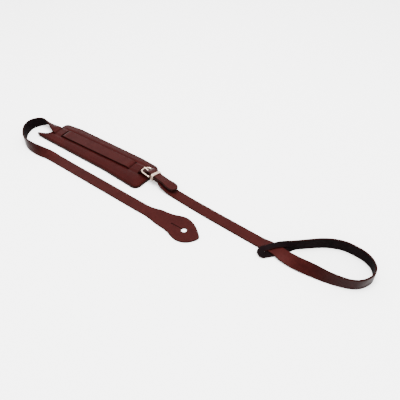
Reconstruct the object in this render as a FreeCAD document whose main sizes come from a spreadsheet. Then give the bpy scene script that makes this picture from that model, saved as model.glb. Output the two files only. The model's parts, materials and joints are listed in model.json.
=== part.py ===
import FreeCAD, Part
import math
import os

# Slim leather shoulder strap of a mandolin, laid out flat with its two ends to the right.
# A button strap (leaf end, long run, bend, woven through a shoulder pad, buckle end) is
# buckled to a noose strap (fold round the buckle's heel bar, run, noose on edge, slit tab).
# Layout frame: X to the right along the long run, Y away across it, Z up, floor at 0.
# Every sub-part's Placement moves the layout's centre onto the origin.

Vec = FreeCAD.Vector
doc = FreeCAD.newDocument("InstrumentStrap")
sheet = doc.addObject("Spreadsheet::Sheet", "Sizes")

SIZES = {
    "centre_x": 268.15,       # layout's middle, along and across
    "centre_y": 38.65,
    "strap_width": 16.0,
    "strap_thick": 2.2,
    "billet_width": 13.8,     # button strap from the buckle to its tip
    "fold_width": 13.4,       # noose strap where it goes round the heel bar
    "fold_skive": 1.6,        # thickness of the pared-down turned-back layer
    "run_end_x": 252.0,       # where the button strap starts to widen into the leaf
    "leaf_length": 93.4,
    "leaf_angle": 1.8,
    "leaf_hole_at": 70.7,     # centre of the button hole, along the leaf
    "leaf_hole_radius": 3.5,
    "leaf_slit_length": 20.0,
    "leaf_slit_width": 0.9,
    "lining_thick": 1.0,
    "filler_thick": 3.0,
    "cover_thick": 1.6,
    "rim_width": 4.5,         # sewn edge of the pad, without filler
    "slot_length": 7.2,
    "slot_width": 17.6,
    "channel_width": 18.4,
    "wire_radius": 1.0,       # buckle frame
    "rail_offset": 8.25,
    "toe_reach": 16.2,
    "toe_corner": 5.5,
    "heel_corner": 1.6,
    "prong_radius": 0.85,
    "prong_height": 1.35,
    "prong_start": 1.3,
    "prong_length": 15.4,
    "prong_tilt": 2.1,
    "prong_ring_inner": 1.05,
    "prong_ring_outer": 1.95,
    "prong_ring_width": 2.2,
    "prong_slot_length": 8.6,
    "prong_slot_width": 2.8,
    "notch_width": 3.4,       # opening in the fold for the prong's ring
    "notch_reach": 2.6,
    "keeper_start": 3.6,      # distance from the heel bar
    "keeper_length": 4.0,
    "keeper_wall": 0.8,
    "keeper_inner_width": 15.2,
    "keeper_inner_top": 5.4,
    "keeper_inner_bottom": -2.3,
    "heel_x": 229.6,          # middle of the heel bar in the layout
    "heel_y": 51.2,
    "heel_z": 9.4,
    "buckle_yaw": -4.5,
    "buckle_pitch": 6.0,
    "buckle_roll": 14.0,      # near side up
    "thread_radius": 0.35,
    "pad_stitch_pitch": 6.0,
    "fold_stitch_pitch": 2.4,
}
for row, (alias, value) in enumerate(SIZES.items(), start=1):
    sheet.set("A%d" % row, alias)
    sheet.set("B%d" % row, str(value))
    sheet.setAlias("B%d" % row, alias)
doc.recompute()


def size(alias):
    return float(sheet.get(alias))


T = size("strap_thick")
SHIFT = Vec(-size("centre_x"), -size("centre_y"), 0)
LAYOUT = FreeCAD.Placement(SHIFT, FreeCAD.Rotation())
HEEL = Vec(size("heel_x"), size("heel_y"), size("heel_z"))
TURN = FreeCAD.Rotation(Vec(0, 0, 1), size("buckle_yaw"))
NOSE_DOWN = FreeCAD.Rotation(Vec(0, 1, 0), size("buckle_pitch"))
# Buckle frame of axes: origin in the middle of the heel bar, X towards the straps' overlap.
NEAR_UP = FreeCAD.Rotation(Vec(1, 0, 0), -size("buckle_roll"))
BUCKLE = FreeCAD.Placement(HEEL, TURN.multiply(NOSE_DOWN).multiply(NEAR_UP))
ACROSS = BUCKLE.Rotation.multVec(Vec(0, -1, 0))

PAD_TOP = size("lining_thick") + size("filler_thick") + size("cover_thick")
SOFT_GAP = 0.3
ON_PAD = PAD_TOP + SOFT_GAP + T / 2
IN_PAD = size("lining_thick") + SOFT_GAP + T / 2
MID = (ON_PAD + IN_PAD) / 2
RAMP = 0.85 * (ON_PAD - MID)


# ---------------------------------------------------------------- leather ribbons

def smooth(rows, parts):
    """Points and tangents of a smooth curve through rows of numbers."""
    pos = [Vec(*row[:3]) for row in rows]
    gaps = [(b - a).Length for a, b in zip(pos, pos[1:])]
    last = len(rows) - 1
    slopes = []
    for i in range(last + 1):
        if i == 0:
            slopes.append((pos[1] - pos[0]) / gaps[0])
        elif i == last:
            slopes.append((pos[last] - pos[last - 1]) / gaps[-1])
        else:
            before = (pos[i] - pos[i - 1]) / gaps[i - 1]
            after = (pos[i + 1] - pos[i]) / gaps[i]
            total = gaps[i - 1] + gaps[i]
            slopes.append(before * (gaps[i] / total) + after * (gaps[i - 1] / total))
    out = []
    for i in range(last):
        steps = parts if i < last - 1 else parts + 1
        for k in range(steps):
            u = k / parts
            h = gaps[i]
            place = (pos[i] * (2 * u**3 - 3 * u**2 + 1) + slopes[i] * (h * (u**3 - 2 * u**2 + u))
                     + pos[i + 1] * (3 * u**2 - 2 * u**3) + slopes[i + 1] * (h * (u**3 - u**2)))
            along = (pos[i] * (6 * u**2 - 6 * u) + slopes[i] * (h * (3 * u**2 - 4 * u + 1))
                     + pos[i + 1] * (6 * u - 6 * u**2) + slopes[i + 1] * (h * (3 * u**2 - 2 * u)))
            along.normalize()
            rest = [a + (b - a) * u for a, b in zip(rows[i][3:], rows[i + 1][3:])]
            out.append((place, along, rest))
    return out


def section(centre, normal, right, width, thick):
    """Rectangular cross-section of a strap as a closed wire."""
    half = right * (width / 2)
    lift = normal * (thick / 2)
    corners = [centre + half + lift, centre - half + lift, centre - half - lift, centre + half - lift]
    return Part.makePolygon(corners + [corners[0]])


def rolled_sections(rows, parts):
    """Sections along rows of x, y, z, roll about the heading, width."""
    wires = []
    for place, along, (roll, width) in smooth(rows, parts):
        left = Vec(0, 0, 1).cross(along)
        left.normalize()
        up = along.cross(left)
        angle = math.radians(roll)
        normal = up * math.cos(angle) + left * math.sin(angle)
        lowest = width / 2 * abs(math.sin(angle)) + T / 2 * abs(math.cos(angle))
        centre = Vec(place.x, place.y, max(place.z, lowest))
        wires.append(section(centre, normal, along.cross(normal), width, T))
    return wires


def buckle_sections(rows, width, parts):
    """Sections along rows of x, z, thickness in the buckle's axes."""
    wires = []
    for place, along, (thick,) in smooth([(x, 0, z, thick) for x, z, thick in rows], parts):
        along = BUCKLE.Rotation.multVec(along)
        wires.append(section(BUCKLE.multVec(place), ACROSS.cross(along), ACROSS, width, thick))
    return wires


def in_buckle(x, z):
    return BUCKLE.multVec(Vec(x, 0, z))


def ribbon(wires):
    solid = Part.makeLoft(wires, True, True)
    if solid.Volume < 0:
        solid.reverse()
    return solid


def feature(name, shape, placement=LAYOUT):
    item = doc.addObject("Part::Feature", name)
    item.Label = name
    item.Shape = shape
    item.Placement = placement
    item.setExpression("Placement.Base.x", "-Sizes.centre_x")
    item.setExpression("Placement.Base.y", "-Sizes.centre_y")
    return item


# ---------------------------------------------------------------- button strap

RUN = size("run_end_x")
FULL = size("strap_width")
BILLET = size("billet_width")

# From the leaf to the left, up on edge round the bend, down onto the pad and through it.
BEND = [
    (RUN, 0, T / 2, 0, FULL), (200, 0, T / 2, 0, FULL), (150, 0, T / 2, 0, FULL),
    (108, 0, T / 2, 0, FULL), (88, -0.4, 1.8, 5, 15.6), (74, -1.8, 3.6, 25, 14.6),
    (61, -5.0, 5.9, 48, 14.6), (48, -7.2, 7.5, 68, 15.2), (35, -7.0, 8.1, 80, FULL),
    (22, -3.0, 8.1, 90, FULL), (10.1, 5.8, 8.2, 94, FULL), (0.9, 17, 8.2, 98, FULL),
    (-2.3, 28.6, 8.2, 96, FULL), (1.7, 39.2, 8.4, 88, 15.8), (9.8, 46.1, 8.9, 72, 15.4),
    (19, 47.3, 9.3, 54, 14.4), (27, 46.3, 9.1, 37, 14.2), (32.6, 45.1, 8.7, 21, 14.8),
    (36, 44.7, 8.2, 10, 15.2),
]
DIP_LEFT = (42.3, 57.7)
DIP_RIGHT = (190.5, 209.0)


def dip(down_x, up_x, y_of):
    """Route under one bridge of the pad: down through a slot and up through the next."""
    rows = []
    for centre, sign in ((down_x, 1), (up_x, -1)):
        steps = [(-3.6, sign * (ON_PAD - MID)), (-2.0, sign * RAMP), (0, 0),
                 (2.0, -sign * RAMP), (3.6, -sign * (ON_PAD - MID))]
        for along, rise in steps:
            rows.append((centre + along, y_of(centre + along), MID + rise, 0, FULL - 0.4))
        if sign == 1:
            middle = (down_x + up_x) / 2
            rows.append((middle, y_of(middle), IN_PAD, 0, FULL - 0.4))
    return rows


def pad_line(x):
    """Across position of the button strap over the pad."""
    return 44.4 + 0.047 * (x - 40)


# Through the buckle in its axes: x, z, thickness; then the tip: x, z, roll, width.
BILLET_ROUTE = [(-15.8, -2.65, T), (-13.4, -2.15, T), (-10.6, 0.05, T), (-7.8, 2.4, T),
                (-5.0, 4.05, T), (-2.4, 4.75, T), (0, 4.9, T), (1.6, 4.55, T), (3.0, 3.98, T),
                (4.6, 3.77, T), (7, 3.75, T), (12, 3.75, T), (20, 3.75, T), (24, 3.72, T)]
BILLET_TIP = [(28, 3.6, 10, 14.4), (32, 3.5, 6, 14.8), (37, 3.6, 4, 14.6), (40, 3.8, 4, 12.8),
              (42.4, 4.0, 4, 9.4), (44.2, 4.2, 4, 4.4)]
ROLL = size("buckle_roll")


def buckle_row(x, z, roll, width):
    """Row in the layout for a place given in the buckle's axes."""
    spot = in_buckle(x, z)
    return (spot.x, spot.y, spot.z, roll, width)


to_buckle = list(BEND)
to_buckle += dip(DIP_LEFT[0], DIP_LEFT[1], pad_line)
to_buckle += [(x, pad_line(x), ON_PAD, 0, FULL) for x in (70, 100, 125, 150, 178)]
to_buckle += dip(DIP_RIGHT[0], DIP_RIGHT[1], pad_line)[:-1]
to_buckle.append(buckle_row(BILLET_ROUTE[0][0], BILLET_ROUTE[0][1], ROLL, BILLET))
to_tip = [buckle_row(BILLET_ROUTE[-1][0], BILLET_ROUTE[-1][1], ROLL, BILLET)]
to_tip += [buckle_row(*row) for row in BILLET_TIP]
wires = rolled_sections(to_buckle, 3)[:-1]
wires += buckle_sections(BILLET_ROUTE, BILLET, 3)
wires += rolled_sections(to_tip, 3)[1:]
strap = ribbon(wires)

# Leaf-shaped end: half widths along its axis, on the far side and the near side.
LEAF_FAR = [(0, 8.0), (10, 8.1), (19, 9.7), (27, 11.9), (36, 12.8), (45, 14.4), (52, 16.9),
            (60, 19.0), (66, 18.7), (73, 16.6), (80, 12.9), (87, 7.4)]
LEAF_NEAR = [(0, 8.0), (14, 8.2), (25, 9.8), (37, 11.8), (47, 12.6), (54, 13.9), (61, 16.4),
             (70, 18.6), (78.5, 17.3), (85, 13.6), (90, 8.0)]


def leaf_solid():
    far = [Vec(x, y, 0) for x, y in LEAF_FAR]
    near = [Vec(x, -y, 0) for x, y in LEAF_NEAR]
    edge = Part.BSplineCurve()
    edge.interpolate(far + [Vec(size("leaf_length"), 0, 0)] + near[::-1])
    close = Part.makeLine(near[0], far[0])
    face = Part.Face(Part.Wire([edge.toShape(), close]))
    return face.extrude(Vec(0, 0, T))


leaf = leaf_solid()
hole_x = size("leaf_hole_at")
hole = Part.makeCylinder(size("leaf_hole_radius"), 3 * T, Vec(hole_x, 0, -T))
slit = Part.makeBox(size("leaf_slit_length"), size("leaf_slit_width"), 3 * T,
                    Vec(hole_x - size("leaf_slit_length"), -size("leaf_slit_width") / 2, -T))
leaf = leaf.cut(hole).cut(slit)
leaf_turn = FreeCAD.Rotation(Vec(0, 0, 1), size("leaf_angle"))
leaf.Placement = FreeCAD.Placement(Vec(RUN, 0, 0), leaf_turn)
strap = strap.fuse(leaf)

# Oval slot for the prong, square to the slope of the strap.
SLOT_AT = Vec(-8.5, 0, 1.85)
slope = math.degrees(math.atan2(2.25, 2.8))
straight = size("prong_slot_length") - size("prong_slot_width")
end_radius = size("prong_slot_width") / 2
oval = Part.makeBox(straight, 2 * end_radius, 3 * T, Vec(-straight / 2, -end_radius, -1.5 * T))
for sign in (-1, 1):
    oval = oval.fuse(Part.makeCylinder(end_radius, 3 * T, Vec(sign * straight / 2, 0, -1.5 * T)))
oval.Placement = BUCKLE.multiply(
    FreeCAD.Placement(SLOT_AT, FreeCAD.Rotation(Vec(0, 1, 0), -slope)))
strap = strap.cut(oval)

feature("button_strap", strap)

# ---------------------------------------------------------------- noose strap

# Fold round the heel bar in buckle axes: x, z, thickness.
SKIVE = size("fold_skive")
FOLD = [(15.5, -0.97, SKIVE), (12, -0.95, SKIVE), (8, -0.95, SKIVE), (4.2, -0.97, SKIVE),
        (2.4, -1.35, SKIVE), (0.6, -2.06, SKIVE), (-1.1, -1.83, SKIVE), (-2.1, -0.7, 1.8),
        (-2.25, 0.7, 2.0), (-1.35, 1.95, 2.1), (0.4, 2.36, T), (2.0, 1.95, T), (3.6, 1.42, T),
        (6.5, 1.25, T), (12, 1.25, T), (15.7, 1.25, T)]
noose_wires = buckle_sections(FOLD, size("fold_width"), 4)
NOOSE = [
    buckle_row(15.7, 1.25, ROLL, size("fold_width")), (251, 48.3, 6.0, 5, 14.8),
    (257, 47.4, 4.1, 2, 15.2), (264, 46.8, 2.7, 1, 15.2), (272, 46.4, 1.8, 1, 15.2),
    (282, 46.0, 1.3, 0, 15.2), (292, 45.5, 1.2, 0, 15.4),
    (330, 44.0, T / 2, 0, 15.8), (370, 43.1, T / 2, 0, FULL), (402, 42.4, T / 2, 0, FULL),
    (411, 42.2, 1.5, 0, FULL), (418, 42.0, 3.0, 0, FULL), (424, 41.8, 3.8, 0, FULL),
    (433, 41.2, 3.9, -2, FULL), (443, 39.0, 4.4, -17, FULL), (458, 37.4, 5.4, -35, FULL),
    (478, 37.8, 6.9, -54, FULL), (498, 38.8, 8.0, -77, FULL), (510, 41.0, 8.1, -84, FULL),
    (520, 44.3, 7.8, -87, 15.4), (529, 49.4, 7.8, -88, 15.4), (536.0, 58, 8.0, -89, 15.8),
    (539.3, 68, 8.1, -89, FULL), (537.4, 78.2, 8.1, -88, FULL), (531.4, 85.9, 8.1, -86, FULL),
    (521.5, 91.0, 8.1, -88, FULL), (508, 92.7, 8.1, -90, FULL), (495, 92.0, 8.1, -91, FULL),
    (482, 87.2, 8.1, -92, FULL), (470, 79.4, 8.1, -92, FULL), (459, 69.7, 8.0, -92, 15.8),
    (449, 60.8, 7.7, -93, 15.2),
]
# The slit end tab: its upper lip crosses over the strap, its lower lip under it.
LIP = 7.3
UPPER_LIP = [
    (453, 64.5, 11.7, -90, LIP), (449, 60.8, 11.4, -93, LIP), (443.5, 56.7, 10.4, -106, LIP),
    (438, 53.2, 9.1, -124, LIP), (432.5, 49.5, 7.7, -150, LIP), (428, 45.2, 6.7, -172, LIP),
    (424.0, 40, 6.3, -176, LIP), (420.2, 34.9, 5.5, -168, LIP), (416.9, 30.2, 4.4, -162, LIP),
]
LOWER_LIP = [
    (453, 64.5, 4.0, -90, LIP), (449, 60.8, 3.9, -93, LIP), (445.5, 57.2, 3.6, -108, LIP),
    (442.5, 53.2, 2.9, -128, LIP), (439, 49, 2.0, -152, LIP), (435.6, 44, 1.1, -180, LIP),
    (432.3, 38.5, 1.1, -180, LIP), (428.6, 33, 1.3, -176, LIP), (424.6, 27.2, 1.9, -165, LIP),
]
TAB_END = [(421.4, 31.4, 3.3, -160, 15.6), (419.2, 27.9, 3.1, -162, 14.4),
           (417.9, 25.4, 3.0, -164, 11.4), (417.1, 23.7, 2.9, -166, 6.6)]

noose_wires += rolled_sections(NOOSE, 3)[1:]
noose = ribbon(noose_wires)
for rows in (UPPER_LIP, LOWER_LIP, TAB_END):
    noose = noose.fuse(ribbon(rolled_sections(rows, 3)))
# Opening in the fold for the prong's ring.
notch = Part.makeBox(6, size("notch_width"), 12, Vec(size("notch_reach") - 6, -size("notch_width") / 2, -6))
notch.Placement = BUCKLE
noose = noose.cut(notch)
feature("noose_strap", noose)

# ---------------------------------------------------------------- sketch helpers


def rounded(corners):
    """Lines and arcs of a closed outline from rows of x, y, corner radius."""
    curves = []
    count = len(corners)
    cuts = []
    for i, (x, y, radius) in enumerate(corners):
        here = Vec(x, y, 0)
        back = Vec(*corners[i - 1][:2], 0) - here
        ahead = Vec(*corners[(i + 1) % count][:2], 0) - here
        back.normalize()
        ahead.normalize()
        half = back.getAngle(ahead) / 2
        reach = radius / math.tan(half)
        inward = back + ahead
        inward.normalize()
        deep = here + inward * (radius / math.sin(half) - radius)
        cuts.append((here + back * reach, deep, here + ahead * reach))
    for i in range(count):
        first, deep, second = cuts[i]
        curves.append(Part.Arc(first, deep, second))
        curves.append(Part.LineSegment(second, cuts[(i + 1) % count][0]))
    return curves


def inset(corners, distance):
    """The same outline moved inwards; corners run anticlockwise."""
    count = len(corners)
    out = []
    for i, (x, y, radius) in enumerate(corners):
        here = Vec(x, y, 0)
        before = here - Vec(*corners[i - 1][:2], 0)
        after = Vec(*corners[(i + 1) % count][:2], 0) - here
        before.normalize()
        after.normalize()
        in_before = Vec(-before.y, before.x, 0)
        in_after = Vec(-after.y, after.x, 0)
        middle = in_before + in_after
        middle.normalize()
        moved = here + middle * (distance / middle.dot(in_before))
        turns_in = before.x * after.y - before.y * after.x > 0
        change = -distance if turns_in else distance
        out.append((moved.x, moved.y, max(radius + change, 0.8)))
    return out


def body_named(name, placement, turned=False):
    body = doc.addObject("PartDesign::Body", name)
    body.Label = name
    body.Placement = placement
    if not turned:
        body.setExpression("Placement.Base.x", "-Sizes.centre_x")
        body.setExpression("Placement.Base.y", "-Sizes.centre_y")
    return body


def sketch_in(body, name, role, curves, offset=0.0):
    plane = [item for item in body.Origin.OriginFeatures if item.Role == role][0]
    sketch = body.newObject("Sketcher::SketchObject", name)
    sketch.AttachmentSupport = (plane, [""])
    sketch.MapMode = "FlatFace"
    sketch.AttachmentOffset = FreeCAD.Placement(Vec(0, 0, offset), FreeCAD.Rotation())
    for curve in curves:
        sketch.addGeometry(curve, False)
    return sketch


def pad_up(body, name, sketch, length):
    pad = body.newObject("PartDesign::Pad", name)
    pad.Profile = sketch
    pad.setExpression("Length", length)
    return pad


def pocket_up(body, name, sketch, length):
    """Cut upwards from the sketch's plane."""
    pocket = body.newObject("PartDesign::Pocket", name)
    pocket.Profile = sketch
    pocket.Reversed = True
    pocket.setExpression("Length", length)
    return pocket


def rectangle(x0, x1, y0, y1, radius):
    return [(x0, y0, radius), (x1, y0, radius), (x1, y1, radius), (x0, y1, radius)]


# ---------------------------------------------------------------- shoulder pad

OUTLINE = [
    (16.6, 21.2, 1.4), (54, 21.6, 90), (160, 23.2, 200), (225.4, 20.4, 9.5),
    (226.0, 44.0, 60), (225.0, 72.2, 9.0), (190, 73.8, 100), (66, 70.2, 90),
    (37.2, 65.8, 8.0), (36.4, 46.0, 30), (31.6, 32.0, 12),
]
SLOTS = [(x, pad_line(x)) for x in DIP_LEFT + DIP_RIGHT]
LINING_TOP = size("lining_thick")

lining = body_named("pad_lining", LAYOUT)
outline = sketch_in(lining, "LiningOutline", "XY_Plane", rounded(OUTLINE))
pad_up(lining, "LiningPad", outline, "Sizes.lining_thick")

FILLER_OUTLINE = inset(OUTLINE, size("rim_width"))
filler = body_named("pad_filler", LAYOUT)
outline = sketch_in(filler, "FillerOutline", "XY_Plane", rounded(FILLER_OUTLINE), LINING_TOP)
pad_up(filler, "FillerPad", outline, "Sizes.filler_thick")
for side, (first, second) in (("Left", SLOTS[:2]), ("Right", SLOTS[2:])):
    reach = size("slot_length") / 2 + 1.4
    half = size("channel_width") / 2
    middle = (first[1] + second[1]) / 2
    corners = rectangle(first[0] - reach, second[0] + reach, middle - half, middle + half, 1.0)
    channel = sketch_in(filler, "Channel" + side, "XY_Plane", rounded(corners), LINING_TOP)
    pocket_up(filler, "ChannelCut" + side, channel, "Sizes.filler_thick")

cover = body_named("pad_cover", LAYOUT)
outline = sketch_in(cover, "CoverOutline", "XY_Plane", rounded(OUTLINE), LINING_TOP)
pad_up(cover, "CoverPad", outline, "Sizes.filler_thick + Sizes.cover_thick")
hollow = sketch_in(cover, "CoverHollow", "XY_Plane", rounded(FILLER_OUTLINE), LINING_TOP)
pocket_up(cover, "CoverHollowCut", hollow, "Sizes.filler_thick")
for number, (x, y) in enumerate(SLOTS, start=1):
    half_x = size("slot_length") / 2
    half_y = size("slot_width") / 2
    corners = rectangle(x - half_x, x + half_x, y - half_y, y + half_y, 1.2)
    slot = sketch_in(cover, "Slot%d" % number, "XY_Plane", rounded(corners), LINING_TOP)
    pocket_up(cover, "SlotCut%d" % number, slot, "Sizes.filler_thick + Sizes.cover_thick")


def rod(start, end, radius):
    return Part.makeCylinder(radius, (end - start).Length, start, end - start)


seam = Part.Wire([curve.toShape() for curve in rounded(inset(OUTLINE, size("rim_width") / 2))])
THREAD = size("thread_radius")
stitches = []
for spot in seam.discretize(Number=int(seam.Length / size("pad_stitch_pitch")))[:-1]:
    beside_slot = spot.x < 50 and abs(spot.y - SLOTS[0][1]) < size("slot_width") / 2 + 1
    if not beside_slot:
        stitches.append(rod(Vec(spot.x, spot.y, 0.2), Vec(spot.x, spot.y, PAD_TOP + 0.1), THREAD))
feature("pad_stitches", Part.makeCompound(stitches))

rows = []
for x in range(4):
    for y in (-4.6, 4.6):
        along = 7.2 + x * size("fold_stitch_pitch")
        rows.append(rod(BUCKLE.multVec(Vec(along, y, -1.8)), BUCKLE.multVec(Vec(along, y, 2.45)), THREAD))
feature("fold_stitches", Part.makeCompound(rows))

# ---------------------------------------------------------------- buckle and keeper

ON_BUCKLE = LAYOUT.multiply(BUCKLE)


def path_of_frame():
    """Closed centre line of the buckle's wire, from the middle of the heel bar."""
    rail = size("rail_offset")
    reach = size("toe_reach")
    toe = size("toe_corner")
    heel = size("heel_corner")
    corners = [(0, -rail, heel), (0, rail, heel), (-reach, rail, toe), (-reach, -rail, toe)]
    curves = rounded(corners)
    bar = curves[1]
    rest = curves[2:] + curves[:1]
    middle = Vec(0, 0, 0)
    return [Part.LineSegment(middle, bar.EndPoint)] + rest + [Part.LineSegment(bar.StartPoint, middle)]


frame = body_named("buckle_frame", ON_BUCKLE, True)
path = sketch_in(frame, "FramePath", "XY_Plane", path_of_frame())
ring = Part.Circle(Vec(0, 0, 0), Vec(0, 0, 1), size("wire_radius"))
wire = sketch_in(frame, "FrameWire", "XZ_Plane", [ring])
pipe = frame.newObject("PartDesign::AdditivePipe", "FramePipe")
pipe.Profile = wire
pipe.Spine = (path, ["Edge%d" % n for n in range(1, path.GeometryCount + 1)])

prong = body_named("buckle_prong", ON_BUCKLE, True)
TILT = FreeCAD.Placement(Vec(0, 0, 0), FreeCAD.Rotation(Vec(0, 1, 0), size("prong_tilt")))
prong.Placement = ON_BUCKLE.multiply(TILT)
around = [Part.Circle(Vec(0, 0, 0), Vec(0, 0, 1), size("prong_ring_outer")),
          Part.Circle(Vec(0, 0, 0), Vec(0, 0, 1), size("prong_ring_inner"))]
ring = sketch_in(prong, "ProngRing", "XZ_Plane", around)
curl = pad_up(prong, "ProngCurl", ring, "Sizes.prong_ring_width")
curl.Midplane = True
tine = Part.Circle(Vec(0, size("prong_height"), 0), Vec(0, 0, 1), size("prong_radius"))
tine = sketch_in(prong, "ProngWire", "YZ_Plane", [tine], -size("prong_start"))
shank = pad_up(prong, "ProngShank", tine, "Sizes.prong_length")
shank.Reversed = True

keeper = body_named("keeper", ON_BUCKLE, True)
wall = size("keeper_wall")
half = size("keeper_inner_width") / 2
low = size("keeper_inner_bottom")
high = size("keeper_inner_top")
loop = rounded(rectangle(-half - wall, half + wall, low - wall, high + wall, 1.6))
loop += rounded(rectangle(-half, half, low, high, 0.6))
band = sketch_in(keeper, "KeeperBand", "YZ_Plane", loop, size("keeper_start"))
pad_up(keeper, "KeeperPad", band, "Sizes.keeper_length")

doc.recompute()

# ---------------------------------------------------------------- write the nodes

NODES = ["button_strap", "noose_strap", "fold_stitches", "buckle_frame", "buckle_prong",
         "keeper", "pad_cover", "pad_filler", "pad_lining", "pad_stitches"]
for item in doc.Objects:
    if "Invalid" in item.State or "Error" in item.State:
        raise RuntimeError("%s did not compute" % item.Label)
os.makedirs("parts", exist_ok=True)
for name in NODES:
    item = doc.getObjectsByLabel(name)[0]
    shape = item.Shape
    if shape.isNull() or not shape.isValid():
        raise RuntimeError("%s is not a valid shape" % name)
    shape.exportStep("parts/%s.step" % name)
    box = shape.BoundBox
    print("%-14s solids %3d  volume %9.1f  x %7.1f %7.1f  y %7.1f %7.1f  z %6.2f %6.2f" % (
        name, len(shape.Solids), shape.Volume, box.XMin, box.XMax, box.YMin, box.YMax,
        box.ZMin, box.ZMax))
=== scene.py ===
import json
import math

import bmesh
import bpy
import numpy as np
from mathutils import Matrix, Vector
from mathutils.geometry import delaunay_2d_cdt


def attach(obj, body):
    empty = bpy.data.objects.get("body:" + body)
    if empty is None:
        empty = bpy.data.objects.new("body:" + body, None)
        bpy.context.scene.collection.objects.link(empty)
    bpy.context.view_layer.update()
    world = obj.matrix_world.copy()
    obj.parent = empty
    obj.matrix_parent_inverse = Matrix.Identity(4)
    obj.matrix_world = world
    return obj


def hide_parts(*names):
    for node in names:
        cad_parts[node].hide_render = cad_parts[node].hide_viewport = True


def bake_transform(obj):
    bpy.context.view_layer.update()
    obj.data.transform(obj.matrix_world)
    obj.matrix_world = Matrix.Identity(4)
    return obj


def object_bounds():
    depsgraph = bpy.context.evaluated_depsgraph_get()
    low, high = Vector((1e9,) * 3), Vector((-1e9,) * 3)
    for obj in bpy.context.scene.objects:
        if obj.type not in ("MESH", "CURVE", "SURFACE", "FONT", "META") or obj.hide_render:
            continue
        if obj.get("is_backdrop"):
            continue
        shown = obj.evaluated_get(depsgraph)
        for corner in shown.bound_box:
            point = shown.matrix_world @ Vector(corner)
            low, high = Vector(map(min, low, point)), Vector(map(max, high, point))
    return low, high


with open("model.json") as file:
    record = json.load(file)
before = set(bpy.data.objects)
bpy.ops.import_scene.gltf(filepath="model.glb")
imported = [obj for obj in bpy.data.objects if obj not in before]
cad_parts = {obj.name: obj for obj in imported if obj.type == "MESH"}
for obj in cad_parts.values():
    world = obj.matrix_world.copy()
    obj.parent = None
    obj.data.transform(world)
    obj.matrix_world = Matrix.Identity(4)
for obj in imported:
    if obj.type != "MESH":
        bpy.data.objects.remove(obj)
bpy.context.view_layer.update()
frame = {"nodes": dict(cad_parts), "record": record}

# Slim leather shoulder strap of a mandolin, laid out on a pale floor.
# Routes are in millimetres in the layout's own axes, with the floor at z = 0, as in the CAD.
# metres() moves them onto the frame by the heel bar, whose place the record states.

JOINTS = {j["name"]: j for j in frame["record"]["behaviour"]["joints"]}
HEEL = np.array([229.6, 51.2, 9.4])
SHIFT = np.array(JOINTS["frame_tilt"]["pos_m"]) * 1000 - HEEL
THICK = 2.2
HALF_THICK = THICK / 2
FULL = 16.0               # width of both straps
IN_FRAME = 13.8           # width of the button strap from the buckle to its tip
FOLD_WIDTH = 13.4
TOP_ROUND = 0.55          # rounding of a strap's edges on the grain side and the flesh side
LOW_ROUND = 0.35
ACROSS = (1.0, 0.94, 0.8, 0.45, 0.15, -0.15, -0.45, -0.8, -0.94, -1.0)  # over the grain side
GRAIN, EDGE, FLESH = 0, 1, 2


def metres(points):
    return (np.asarray(points, float) + SHIFT) / 1000


def layout(x, y, z=0.0):
    return tuple(metres([x, y, z]))


def ramp(low, high, value):
    u = np.clip((np.asarray(value, float) - low) / (high - low), 0, 1)
    return u * u * (3 - 2 * u)


# ---------------------------------------------------------------- materials

class Graph:
    """A material's node tree with short calls for the nodes that leather and metal need."""

    def __init__(self, name):
        self.material = bpy.data.materials.new(name)
        self.material.use_nodes = True
        self.tree = self.material.node_tree
        self.shader = self.tree.nodes["Principled BSDF"]
        self.place = self.tree.nodes.new("ShaderNodeTexCoord").outputs["Object"]

    def link(self, source, target):
        self.tree.links.new(source, target)

    def node(self, kind, **values):
        node = self.tree.nodes.new(kind)
        for key, value in values.items():
            setattr(node, key, value)
        return node

    def noise(self, scale, detail=3.0, rough=0.55):
        node = self.node("ShaderNodeTexNoise")
        node.inputs["Scale"].default_value = scale
        node.inputs["Detail"].default_value = detail
        node.inputs["Roughness"].default_value = rough
        self.link(self.place, node.inputs["Vector"])
        return node.outputs["Fac"]

    def cells(self, scale):
        node = self.node("ShaderNodeTexVoronoi")
        node.inputs["Scale"].default_value = scale
        self.link(self.place, node.inputs["Vector"])
        return node.outputs["Distance"]

    def attribute(self, name):
        return self.node("ShaderNodeAttribute", attribute_name=name).outputs["Fac"]

    def spread(self, value, low, high, to_low=0.0, to_high=1.0):
        node = self.node("ShaderNodeMapRange")
        limits = (("From Min", low), ("From Max", high), ("To Min", to_low), ("To Max", to_high))
        for key, number in limits:
            node.inputs[key].default_value = number
        self.link(value, node.inputs["Value"])
        return node.outputs["Result"]

    def maths(self, operation, first, second):
        node = self.node("ShaderNodeMath", operation=operation)
        for socket, value in zip(node.inputs, (first, second)):
            if isinstance(value, (int, float)):
                socket.default_value = value
            else:
                self.link(value, socket)
        return node.outputs["Value"]

    def mix(self, factor, first, second):
        node = self.node("ShaderNodeMix", data_type="RGBA")
        self.link(factor, node.inputs["Factor"])
        for socket, value in ((node.inputs[6], first), (node.inputs[7], second)):
            if isinstance(value, tuple):
                socket.default_value = (*value, 1.0)
            else:
                self.link(value, socket)
        return node.outputs[2]

    def bump(self, height, strength, distance, base=None):
        node = self.node("ShaderNodeBump")
        node.inputs["Strength"].default_value = strength
        node.inputs["Distance"].default_value = distance
        self.link(height, node.inputs["Height"])
        if base is not None:
            self.link(base, node.inputs["Normal"])
        return node.outputs["Normal"]

    def put(self, name, value):
        socket = self.shader.inputs[name]
        if isinstance(value, (int, float)):
            socket.default_value = value
        elif isinstance(value, tuple):
            socket.default_value = (*value, 1.0)
        else:
            self.link(value, socket)


WAX_SHEEN = (1.0, 0.36, 0.34)  # highlights take the dye's colour


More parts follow.
